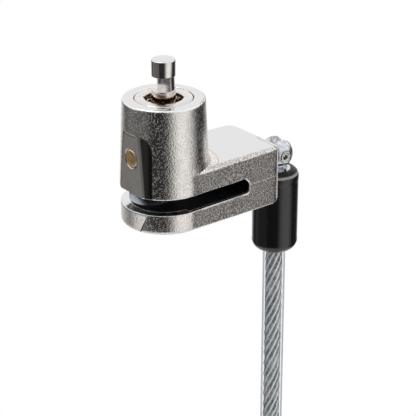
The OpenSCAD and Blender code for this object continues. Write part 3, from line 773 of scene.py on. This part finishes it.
def strands():
    """Galvanised strands. The shade layer is dark in the gaps, and they are drawn light, since light comes
    through there."""
    s = Surface("galvanised_strands", (0.6, 0.6, 0.6), metallic=0.15, roughness=0.45)
    gaps = s.node("ShaderNodeVertexColor")
    gaps.layer_name = "shade"
    shade = s.value(gaps, "Color")
    wires = s.noise(0.5, detail=3)
    zinc = s.noise(2.6, detail=3)
    tone = s.mix(zinc.step(0.35, 0.65), (0.14, 0.155, 0.165), (0.46, 0.49, 0.51))
    tone = s.mix(wires.step(0.5, 0.7) * 0.7, tone, (0.60, 0.64, 0.66))
    s.set("Base Color", s.mix(shade.step(0.60, 0.35), tone, (0.95, 0.96, 0.97)))
    s.bump(wires * shade, 0.06)
    return s.material


def clear_jacket():
    """Clear vinyl: nearly all of the strands show through it. Its edges turn milky, and its right side is
    painted dark and less clear as painted shade.
    """
    s = Surface("clear_jacket", (0.78, 0.82, 0.86), roughness=0.1)
    # the side to the camera's right is painted dark and less clear, a painted shade
    right_painted_shade = rightwards(s.nx, s.ny).step(0.74, 0.86)
    edge = s.value(s.node("ShaderNodeLayerWeight", Blend=0.35), "Facing")
    haze = s.noise(6.0, detail=2)
    s.set("Base Color", s.mix(right_painted_shade, (0.78, 0.82, 0.86), (0.16, 0.22, 0.28)))
    s.set("Alpha", edge ** 2.4 * 0.6 + right_painted_shade * 0.45 + haze * 0.04 + 0.02)
    s.set("Roughness", haze * 0.12 + 0.06)
    return s.material


NICKEL = nickel_casting()
CASE_NICKEL = case_nickel()
POST_STEEL = post_steel()
BRASS = turned_metal("brass", (0.80, 0.58, 0.27), roughness=0.24, along=(1, 8, 1))
PIN_BRASS = pin_brass()
KEYWAY_BRASS = keyway_brass()
STEEL = turned_metal("bright_steel", (0.55, 0.57, 0.60), roughness=0.22, along=(1, 1, 6))
BLUED_STEEL = blued_steel()
CAM_ZINC = turned_metal("cam_zinc", (0.52, 0.55, 0.60), roughness=0.42)
PIN_STEEL = turned_metal("pin_steel", (0.95, 0.92, 0.89), roughness=0.4, along=(1, 6, 1))
FERRULE = turned_metal("ferrule_aluminium", (0.75, 0.75, 0.75), roughness=0.35, along=(6, 1, 1),
                       depth=0.02)
RUBBER = black_rubber()
PLASTIC = black_plastic()
STRAP = woven_strap()
STRANDS = strands()
JACKET = clear_jacket()

# ---------------- the cable
JACKET_SIDES = 20
STRAND_COUNT = 9
POINTS_PER_STRAND = 4
CORE_R = 1.95
STRAND_DEPTH = 0.18
LAY = 24
RINGS_PER_TURN = 72
RING_STEP = 2.5
LOOP_RING_STEP = 2.0


def strand_grey(k):
    """1 on the crown of a strand and 0 in the gap beside it."""
    return abs(math.cos(math.pi * k / POINTS_PER_STRAND))


def core_outline(run):
    """The core's ring of round strands, which turns as it runs along the cable."""
    turn = 2 * math.pi * run / LAY
    count = STRAND_COUNT * POINTS_PER_STRAND
    made = []
    for k in range(count):
        a = 2 * math.pi * k / count
        r = CORE_R - STRAND_DEPTH + STRAND_DEPTH * strand_grey(k)
        made.append((r * math.cos(a + turn), r * math.sin(a + turn)))
    return made


def make_cable():
    drop = smooth_route(DROP_ROUTE + [coil_point(0)], RING_STEP)[:-1]
    coil = [Vector(p) for p in coil_route(RINGS_PER_TURN)]
    tail = smooth_route([tuple(coil[-1])] + TAIL_ROUTE, RING_STEP)[1:]
    route = drop + coil + tail
    loop = smooth_route(loop_route(), LOOP_RING_STEP)

    def tube(name, points, outline, material, side=(1, 0, 0), grey=None):
        return new_object(name, sweep(points, outline, side, grey), material, "cable")

    jacket = tube("cable_jacket", route, circle_outline(CABLE_R, JACKET_SIDES), JACKET)
    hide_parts("cable_drop", "cable_coil", "cable_tail")
    core = tube("cable_strands", route, core_outline, STRANDS, grey=strand_grey)
    loop_jacket = tube("loop_jacket", loop, circle_outline(CABLE_R - 0.05, JACKET_SIDES), JACKET, (0, 0, 1))
    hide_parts("cable_loop")
    loop_core = tube("loop_strands", loop, core_outline, STRANDS, (0, 0, 1), strand_grey)
    tuple(route[0] * MM)
    [tuple(p * MM) for p in route]
    make_ferrule()
    make_tie()


def make_ferrule():
    """The double ferrule at the loop: two round sides joined, with two pressed bands."""
    x0 = TAIL_ROUTE[-1][0]
    y0 = TAIL_ROUTE[-1][1] - BORE_GAP / 2
    z0 = GROUND + FERRULE_R
    side = BORE_GAP / 2
    end_size = 0.93
    band_size = 0.94
    outline = arc(side, 0, FERRULE_R, -90, 90, 16) + arc(-side, 0, FERRULE_R, 90, 270, 16)
    bm = bmesh.new()
    end = bm.faces.new([bm.verts.new(mm(x0, y0 + end_size * y, z0 + end_size * z)) for y, z in outline])
    bands = [(start + x, size) for start in (3.1, 8.1)
             for x, size in ((0, 1), (0.6, band_size), (2.2, band_size), (2.8, 1))]
    stations = [(0.4, 1), *bands, (FERRULE_LEN - 0.4, 1), (FERRULE_LEN, end_size)]
    size = end_size
    before = 0
    for x, wanted in stations:
        made = bmesh.ops.extrude_face_region(bm, geom=[end])["geom"]
        end = next(f for f in made if isinstance(f, bmesh.types.BMFace))
        bmesh.ops.translate(bm, verts=end.verts, vec=mm(x - before, 0, 0))
        bmesh.ops.scale(bm, verts=end.verts, vec=(1, wanted / size, wanted / size),
                        space=Matrix.Translation(-mm(0, y0, z0)))
        size = wanted
        before = x
    bmesh.ops.recalc_face_normals(bm, faces=bm.faces)
    return piece("loop_ferrule_pressed", bm, FERRULE, "cable", "ferrule_aluminium", "loop_ferrule", ease=0.15)


def make_tie():
    """The strap round one side of the coil, closed on itself with a lapped end."""
    around_cable = CABLE_R + 0.1
    inner_r = COIL_OUTER - TURN_STEP * LAYER_TURNS - CLIMB_SWING - around_cable
    outer_r = COIL_OUTER + CLIMB_SWING + around_cable
    top = COIL_TOP + around_cable
    turn_r = 2.2

    def band(grow):
        """The strap's path round the coil's turns, as (radius, height) points, moved out by grow."""
        low_r, high_r, low, high = inner_r - grow, outer_r + grow, GROUND + TIE_T - grow, top + grow
        r = turn_r + grow
        return (arc(high_r - r, low + r, r, -90, 0, 6) + arc(high_r - r, high - r, r, 0, 90, 6)
                + arc(low_r + r, high - r, r, 90, 180, 6) + arc(low_r + r, low + r, r, 180, 270, 6))

    half = TIE_W / 2
    lap_low, lap_high = top - 12.2, top - 1.2
    lap_in, lap_out = outer_r + 0.05, outer_r + TIE_T + 0.45
    corner = 0.5
    lap = [(lap_in, lap_low), (lap_out, lap_low),
           *arc(lap_out - corner, lap_high - corner, corner, 0, 90, 3), (lap_in, lap_high)]
    bm = combined(pushed(band(TIE_T), -half, half, "xzy"),
                  ("DIFFERENCE", pushed(band(0), -TIE_W, TIE_W, "xzy")),
                  ("UNION", pushed(lap, 0.3 - half, half - 0.3, "xzy")))
    moved(tipped(bm, "Z", TIE_ANGLE), *COIL_CENTRE, 0)
    return piece("coil_strap", bm, STRAP, "cable", "black_strap", "coil_tie", ease=0.12)


make_cable()


# ---------------- the casting
PAST_SIDES = 20  # how far the solids that cut the casting reach
PAST_ENDS = 30


def barrel_radius(z):
    return BARREL_R + TAPER * (BARREL_TOP - z)


def arm_solid():
    """The arm with both jaws' sides, banded above and rounded below. At its end one upright corner is round,
    and the other turns softly at first and then tightly."""
    root = JAW_R - 0.05
    soft = 7
    turn = 13
    hard = 0.9
    rise = soft - (soft - hard) * math.cos(math.radians(turn))
    start = ARM_END - hard - (soft - hard) * math.sin(math.radians(turn))
    far = 3
    plan = [(0, root), (0, -root), *arc(start, soft - ARM_HALF, soft, -90, turn - 90, 4),
            *arc(ARM_END - hard, rise - ARM_HALF, hard, turn - 90, 0, 6),
            *arc(ARM_END - far, ARM_HALF - far, far, 0, 90, 8)]
    band_top = JAW_R - 1.45
    band_low = ARM_TOP - 0.55
    below = JAW_R - JAW_ROUND
    section = [*arc(-below, JAW_ROUND - JAW_T, JAW_ROUND, 180, 270, 5),
               *arc(below, JAW_ROUND - JAW_T, JAW_ROUND, 270, 360, 5),
               (JAW_R, band_low), (band_top, ARM_TOP), (-band_top, ARM_TOP), (-JAW_R, band_low)]
    heel = 2
    side = [(-1, ARM_TOP + 2), (-1, -JAW_T - 1), (ARM_END - heel, -JAW_T - 1),
            *arc(ARM_END - heel, heel - JAW_T, heel + 0.01, -90, 0, 8), (ARM_END + 1, ARM_TOP + 2)]
    return combined(pushed(plan, -JAW_T - 2, ARM_TOP + 1),
                    ("INTERSECT", pushed(section, -1, ARM_END + 1, "yzx")),
                    ("INTERSECT", pushed(side, -PAST_SIDES, PAST_SIDES, "xzy")))


def skirt_solid():
    """The barrel's slight flare where it meets the arm; set off centre, it fades out towards both flanks."""
    low, wide, high = 6.5, 8.8, 10.6
    core_r = 7
    profile = [(core_r, low), (barrel_radius(low), low), (barrel_radius(wide), wide),
               (barrel_radius(high) - 0.32, high), (core_r, high)]
    return turned(profile, 150, at=(0.3, 0), ring=True)


def pad_outline(inside):
    """The rubber pad's plan: a round end, then a wider straight part up to the slot's end wall."""
    half = PAD_HALF - inside
    end = SLOT_END - 0.1 - inside
    return [*arc(0, 0, PAD_R - inside, 90, 270, 32), (0, -half), (end, -half), (end, half), (0, half)]


def make_casting():
    """Cut and joined from its main forms, then remeshed and smoothed, so that its edges are round."""
    low_r = barrel_radius(SLOT_H)
    mouth = 0.35
    top = 0.5
    hair = 0.004  # keeps faces of two solids from lying in one plane
    barrel = turned([(0, SLOT_H), (low_r - mouth, SLOT_H),
                     *arc(low_r - mouth, SLOT_H + mouth, mouth, -90, 0, 4),
                     *arc(BARREL_R - top, BARREL_TOP - top, top, 0, 90, 5), (0, BARREL_TOP)], 192)
    jaw_low = hair - JAW_T
    jaw = turned([(0, jaw_low), *arc(JAW_R - JAW_ROUND, jaw_low + JAW_ROUND, JAW_ROUND, -90, 0, 6),
                  (JAW_R, 0.2), (0, 0.2)], 192)
    slot_top = SLOT_H - hair
    slot = [(-PAST_ENDS, 0), (SLOT_END, 0), (SLOT_END, SLOT_H - 1), (SLOT_END - 1, slot_top),
            (-PAST_ENDS, slot_top)]
    bore_r = CASE_R + 0.05
    bore = turned([(0, CASE_FLOOR), (bore_r, CASE_FLOOR), (bore_r, PAST_ENDS), (0, PAST_ENDS)], 128)
    access = turned([(0, -6), (ACCESS_R, -6), (ACCESS_R, 1), (0, 1)])
    pin_hole = pushed(circle(0, BRASS_Z, BRASS_R + 0.08), -PAST_SIDES, -4, "yzx")
    shank_hole = pushed(circle(0, PIVOT[1], SHANK_R + 0.05, 32), SHANK_START - 0.2, PAST_ENDS, "yzx")
    cuts = (bore, pin_hole, access, shank_hole, pushed(slot, -PAST_SIDES, PAST_SIDES, "xzy"),
            pushed(pad_outline(0), -PAD_T, 1))
    clamp_flat = block(-PAST_SIDES, -FLAT_X, PAST_SIDES, 0, FLAT_TOP)
    shape = new_object("work", combined(
        barrel, ("UNION", skirt_solid()), ("DIFFERENCE", clamp_flat), ("UNION", arm_solid()),
        ("UNION", jaw), *(("DIFFERENCE", cut) for cut in cuts)))
    remesh = shape.modifiers.new("skin", "REMESH")
    remesh.mode = "VOXEL"
    remesh.voxel_size = 0.2 * MM
    remesh.use_smooth_shade = True
    smooth = shape.modifiers.new("soft", "SMOOTH")
    smooth.factor = 0.5
    smooth.iterations = 4
    bake(shape)
    piece("casting", mesh_of(shape), NICKEL, "housing", "nickel_casting", "body", flat_faces=False)


make_casting()


# ---------------- pieces in and on the casting
def make_case():
    """The cylinder case's ring in the top face, with its round keyway and two side notches."""
    lip = 0.3
    profile = [(CASE_INNER_R, CASE_FLOOR), (CASE_R, CASE_FLOOR), (CASE_R, BARREL_TOP - 0.3),
               (CASE_R - 0.12, BARREL_TOP - 0.08), (CASE_R - 0.3, BARREL_TOP),
               *arc(KEYWAY_R + lip, BARREL_TOP - lip, lip, 90, 180, 4), (KEYWAY_R, LIP_LOW),
               (CASE_INNER_R, LIP_LOW)]
    half_w = 0.8
    centre = 4.15 - half_w
    both = arc(centre, 0, half_w, -90, 90, 10) + arc(-centre, 0, half_w, 90, 270, 10)
    notches = tipped(pushed(both, LIP_LOW - 1, BARREL_TOP + 1), "Z", NOTCH_ANGLE)
    bm = combined(turned(profile, 128, ring=True), ("DIFFERENCE", notches))
    piece("case_ring", bm, CASE_NICKEL, "housing", "steel", "cylinder_case", ease=0.1, angle=50)


def make_post():
    """The post in the keyway: round head, neck milled to a shallow crown on one side, collar and tail."""
    edge = 0.22
    under = 0.12
    r = POST_R
    neck_r = r - 0.2
    tail_top = 13.65
    profile = [(0, CAM_Z[0]), (TAIL_R, CAM_Z[0]), (TAIL_R, tail_top), (r, tail_top),
               *arc(r - 0.1, COLLAR_TOP - 0.1, 0.1, 0, 90, 3), (neck_r, COLLAR_TOP), (neck_r, HEAD_BOTTOM),
               (r - under, HEAD_BOTTOM), *arc(r - under, HEAD_BOTTOM + under, under, -90, 0, 3),
               *arc(r - edge, POST_TOP - edge, edge, 0, 90, 4), (0, POST_TOP)]
    crown_r = 5.4
    cut = [(-6, 6), *arc(crown_r - 0.45, 0, crown_r, 120, 240, 32), (-6, -6)]
    bm = combined(turned(profile, 128), ("DIFFERENCE", pushed(cut, COLLAR_TOP, HEAD_BOTTOM)))
    piece("keyway_post", bm, POST_STEEL, "plug", "post_steel", "centre_post", ease=0.06, angle=40)


def make_brass_pin():
    """The pin that locks the case in the casting, with a low crown and a turned rim."""
    face = FLAT_X + 0.08
    r = BRASS_R
    profile = [(0, 4), (r, 4), (r, face - 0.3), (r - 0.12, face - 0.08), (r - 0.3, face),
               (r - 0.42, face - 0.12), (1.0, face - 0.06), (0, face - 0.03)]
    bm = moved(tipped(turned(profile, 64), "Y", -90), 0, 0, BRASS_Z)
    piece("brass_pin", bm, PIN_BRASS, "housing", "brass", "retaining_pin")


def make_pad():
    bm = pushed(pad_outline(0.05), -PAD_T, -0.05)
    piece("rubber_pad", bm, RUBBER, "housing", "black_rubber", "slot_pad", ease=0.15)


def make_cam():
    """The eccentric cam on the plug's tail, which grips the computer's slot."""
    disc = pushed(circle(-CAM_OFFSET, 0, CAM_R, 96), *CAM_Z)
    hub = pushed(circle(0, 0, HUB_R, 64), *CAM_Z)
    tail = pushed(circle(0, 0, TAIL_R), CAM_Z[0] - 1, CAM_Z[1] + 1)
    bm = combined(disc, ("UNION", block(-CAM_OFFSET, 0, HUB_R, *CAM_Z)), ("UNION", hub), ("DIFFERENCE", tail))
    piece("cam_plate", bm, CAM_ZINC, "plug", "steel", "locking_cam", ease=0.15, angle=50)


def make_cover():
    """The disc that closes the assembly hole under the jaw, with two spanner holes."""
    low = 0.1 - JAW_T
    high = low + 2
    edge = 0.25
    disc = turned([(0, low), (ACCESS_R - edge, low), (ACCESS_R, low + edge), (ACCESS_R, high), (0, high)], 64)
    hole_x, hole_r = 1.7, 0.45
    holes = [pushed(circle(x, 0, hole_r, 20), low - 1, low + 0.5) for x in (-hole_x, hole_x)]
    bm = combined(disc, *(("DIFFERENCE", hole) for hole in holes))
    piece("jaw_disc", bm, STEEL, "housing", "steel", "jaw_cover", ease=0.05, angle=50)


make_case()
make_post()
make_brass_pin()
make_pad()
make_cam()
make_cover()


# ---------------- the swivel and the cable's end
def make_fork():
    """The swivel: a ball cut by a gap and two flats, on a neck and a shank that turns in the arm."""
    ball = bmesh.new()
    bmesh.ops.create_uvsphere(ball, u_segments=96, v_segments=48, radius=BALL_R * MM)
    moved(ball, PIVOT[0], 0, PIVOT[1])

    def bar(r, low, high):
        return pushed(circle(0, PIVOT[1], r, 64), low, high, "yzx")

    def across(r, low, high):
        return pushed(circle(*PIVOT, r), low, high, "xzy")

    flats = block(FORK_START - 8, PIVOT[0] + 5, FORK_HALF, -10, 15)
    gap = block(PIVOT[0] - 2.7, PIVOT[0] + 6, FORK_GAP / 2, -10, 15)
    recess_r = 1.6
    recess = FORK_HALF - 0.3
    groove_x, groove_half, groove_r = 20.5, 0.65, 1.1
    groove = combined(bar(4, groove_x - groove_half, groove_x + groove_half),
                      ("DIFFERENCE", bar(groove_r, 19, 22)))
    cuts = (gap, across(PIVOT_PIN_R, -10, 10), across(recess_r, -10, -recess), across(recess_r, recess, 10),
            groove)
    bm = combined(ball, ("UNION", bar(NECK_R, FORK_START, PIVOT[0] - 1)),
                  ("UNION", bar(SHANK_R, SHANK_START, FORK_START + 1)), ("INTERSECT", flats),
                  *(("DIFFERENCE", cut) for cut in cuts))
    piece("swivel_ball", bm, BLUED_STEEL, "fork", "dark_steel", "swivel_fork", ease=0.12, angle=25)


def make_pivot_pin():
    """A coiled spring pin: a strip rolled up on itself."""
    wall = 0.33
    turns = 1.9
    steps = 64
    start = math.radians(200)
    outer_part = 0.35
    drawn_in = (PIVOT_PIN_R - 0.36) * 0.62

    def spiral(offset):
        made = []
        for i in range(steps + 1):
            share = i / steps
            r = PIVOT_PIN_R - 0.02 - offset - drawn_in * max(0.0, share - outer_part) / (1 - outer_part)
            a = 2 * math.pi * turns * share + start
            made.append((PIVOT[0] + r * math.cos(a), PIVOT[1] + r * math.sin(a)))
        return made

    half = FORK_HALF - 0.02
    strip = pushed(spiral(0) + spiral(wall)[::-1], -half, half, "xzy")
    piece("coiled_pin", strip, PIN_STEEL, "fork", "dark_steel", "pivot_pin", ease=0.07, angle=50)


def make_terminal():
    """The terminal crimped on the cable: a flat tongue with a round eye, a collar and a crimp barrel."""
    half_w, half_t = 2.1, 1.4
    low, high = CRIMP_Z
    tongue = pushed([(PIVOT[0] - half_w, high - 0.5), (PIVOT[0] + half_w, high - 0.5),
                     *arc(*PIVOT, half_w, 0, 180, 24)], -half_t, half_t, "xzy")
    r, edge = 4.2, 0.3
    shoulder = high - 0.2
    collar_r, collar_top = 3.2, SLEEVE_Z[1] - 0.02
    profile = [(0, low), (r - edge, low), (r, low + edge), (r, shoulder), (collar_r, shoulder),
               (collar_r, collar_top), (0, collar_top)]
    mouth_r, mouth_top = CABLE_R + 0.02, -6
    mouth = [(0, low - 1), (mouth_r, low - 1), (mouth_r, mouth_top), (0, mouth_top)]
    at = (PIVOT[0], 0)
    bm = combined(turned(profile, 64, at), ("UNION", tongue),
                  ("DIFFERENCE", pushed(circle(*PIVOT, PIVOT_PIN_R + 0.05), -4, 4, "xzy")),
                  ("DIFFERENCE", turned(mouth, 48, at)))
    piece("crimped_terminal", bm, BLUED_STEEL, "cable", "dark_steel", "cable_terminal", ease=0.12)


def make_sleeve():
    """The moulded sleeve: a rounded shoulder above, with a low bead under it, and a rounded end below."""
    r = SLEEVE_R
    low, high = SLEEVE_Z
    shoulder = 1.8
    end = 2.4
    bead = 0.05
    top_r = 3.25
    bore_r = CABLE_R + 0.06
    bead_low = high - shoulder - 0.9
    profile = [(top_r, high - 1), (top_r, high - 0.15), (r - shoulder + 0.1, high),
               *arc(r - shoulder, high - shoulder, shoulder, 80, 0, 10),
               (r, bead_low), (r - bead, bead_low - 0.1), (r - bead, low + end + 0.5),
               *arc(r - end, low + end, end, 0, -90, 12), (bore_r, low), (bore_r, low + 1)]
    bm = turned(profile, 128, at=(PIVOT[0], 0), ring=True)
    piece("moulded_sleeve", bm, PLASTIC, "cable", "black_plastic", "sleeve")


make_fork()
make_pivot_pin()
make_terminal()
make_sleeve()


# ---------------- the pins' springs
def make_springs():
    """A wound spring under each driver pin."""
    low, high = SPRING_Z
    wire_r, coil_r, turns, steps = 0.08, 0.48, 5, 14
    climb = (high - low - 2 * wire_r) / (turns * steps)
    for k, angle in enumerate(PIN_ANGLES):
        x, y = (PIN_CIRCLE_R * part(math.radians(angle)) for part in (math.cos, math.sin))
        route = []
        for t in range(turns * steps + 1):
            a = 2 * math.pi * t / steps
            route.append((x + coil_r * math.cos(a), y + coil_r * math.sin(a), low + wire_r + climb * t))
        wire = sweep(route, circle_outline(wire_r, 6), (0, 0, 1))
        spring = new_object(f"pin_spring_{k + 1}", wire, STEEL, "housing")
        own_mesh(spring)
    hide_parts("pin_springs")


make_springs()


# ---------------- CAD nodes that keep their shape
FINISHES = {
    "pin_block": BRASS, "swivel_dowel": STEEL, "key_plug": KEYWAY_BRASS, "cam_screw": BLUED_STEEL,
    "key_pins": KEYWAY_BRASS, "driver_pins": STEEL,
}
for node_name, finish in FINISHES.items():
    NODES[node_name].data.materials.clear()
    NODES[node_name].data.materials.append(finish)


# ---------------- floor, light and background
def make_floor():
    bm = bmesh.new()
    bmesh.ops.create_circle(bm, cap_ends=True, segments=64, radius=3)
    moved(bm, 0, 0, GROUND - 0.1)
    s = Surface("pale_floor", (0.9, 0.9, 0.9), roughness=0.7)
    shine = s.node("ShaderNodeEmission", Color=(1.0, 1.0, 1.0), Strength=1.0)
    seen = s.node("ShaderNodeLightPath").outputs["Is Camera Ray"]
    swap = s.node("ShaderNodeMixShader", n0=seen, n1=s.shader.outputs["BSDF"], n2=shine.outputs["Emission"])
    s.give(s.tree.nodes["Material Output"].inputs["Surface"], swap.outputs["Shader"])
    floor = new_object("floor", bm, s.material)
    floor.visible_glossy = False


def make_world():
    """White to the camera. The metal sees a bright studio above and a pale bench below, and between them a
    dark room with a tall white panel to the front right and a wide dimmer one behind."""
    world = bpy.data.worlds.new("studio")
    scene.world = world
    world.use_nodes = True
    s = Shading(world.node_tree)
    east, north, height = s.parts(s.node("ShaderNodeTexCoord").outputs["Generated"])
    around = north.turn_from(east)
    panel = around.step(-122, -86) * around.step(-28, -66)
    behind = around.step(0, 50) * around.step(112, 62)
    left = around.step(112, 126) * around.step(148, 134)
    west = around.step(125, 140).most(around.step(-162, -176))
    room = panel * 0.94 + behind * 0.9 + (left * 0.17).most(west * 0.1) + 0.03
    behind_object = (east * LOOK_EAST + north * LOOK_NORTH).step(-0.55, 0.0)
    sky = (height.step(-0.1, 0.25) * behind_object).most(height.step(0.7, 0.92))
    bench = height.step(-0.62, -0.85)
    glow = (1 - sky) * (1 - bench) * room + sky + bench * 0.85
    seen = s.value(s.node("ShaderNodeLightPath"), "Is Camera Ray")
    background = s.tree.nodes["Background"]
    s.give(background.inputs["Strength"], (1 - seen) * glow + seen)
    s.give(background.inputs["Color"], (1.0, 1.0, 1.0))


def make_lamp():
    """A soft square lamp high behind the lock."""
    data = bpy.data.lights.new("key", "AREA")
    data.shape = "SQUARE"
    data.size = 0.3
    data.energy = 0.9
    lamp = bpy.data.objects.new("key", data)
    scene.collection.objects.link(lamp)
    lamp.location = (-0.1, 0.3, 0.8)
    lamp.rotation_mode = "QUATERNION"
    lamp.rotation_quaternion = (-lamp.location).to_track_quat("-Z", "Y")


make_floor()
make_world()
make_lamp()
scene.view_settings.view_transform = "Standard"
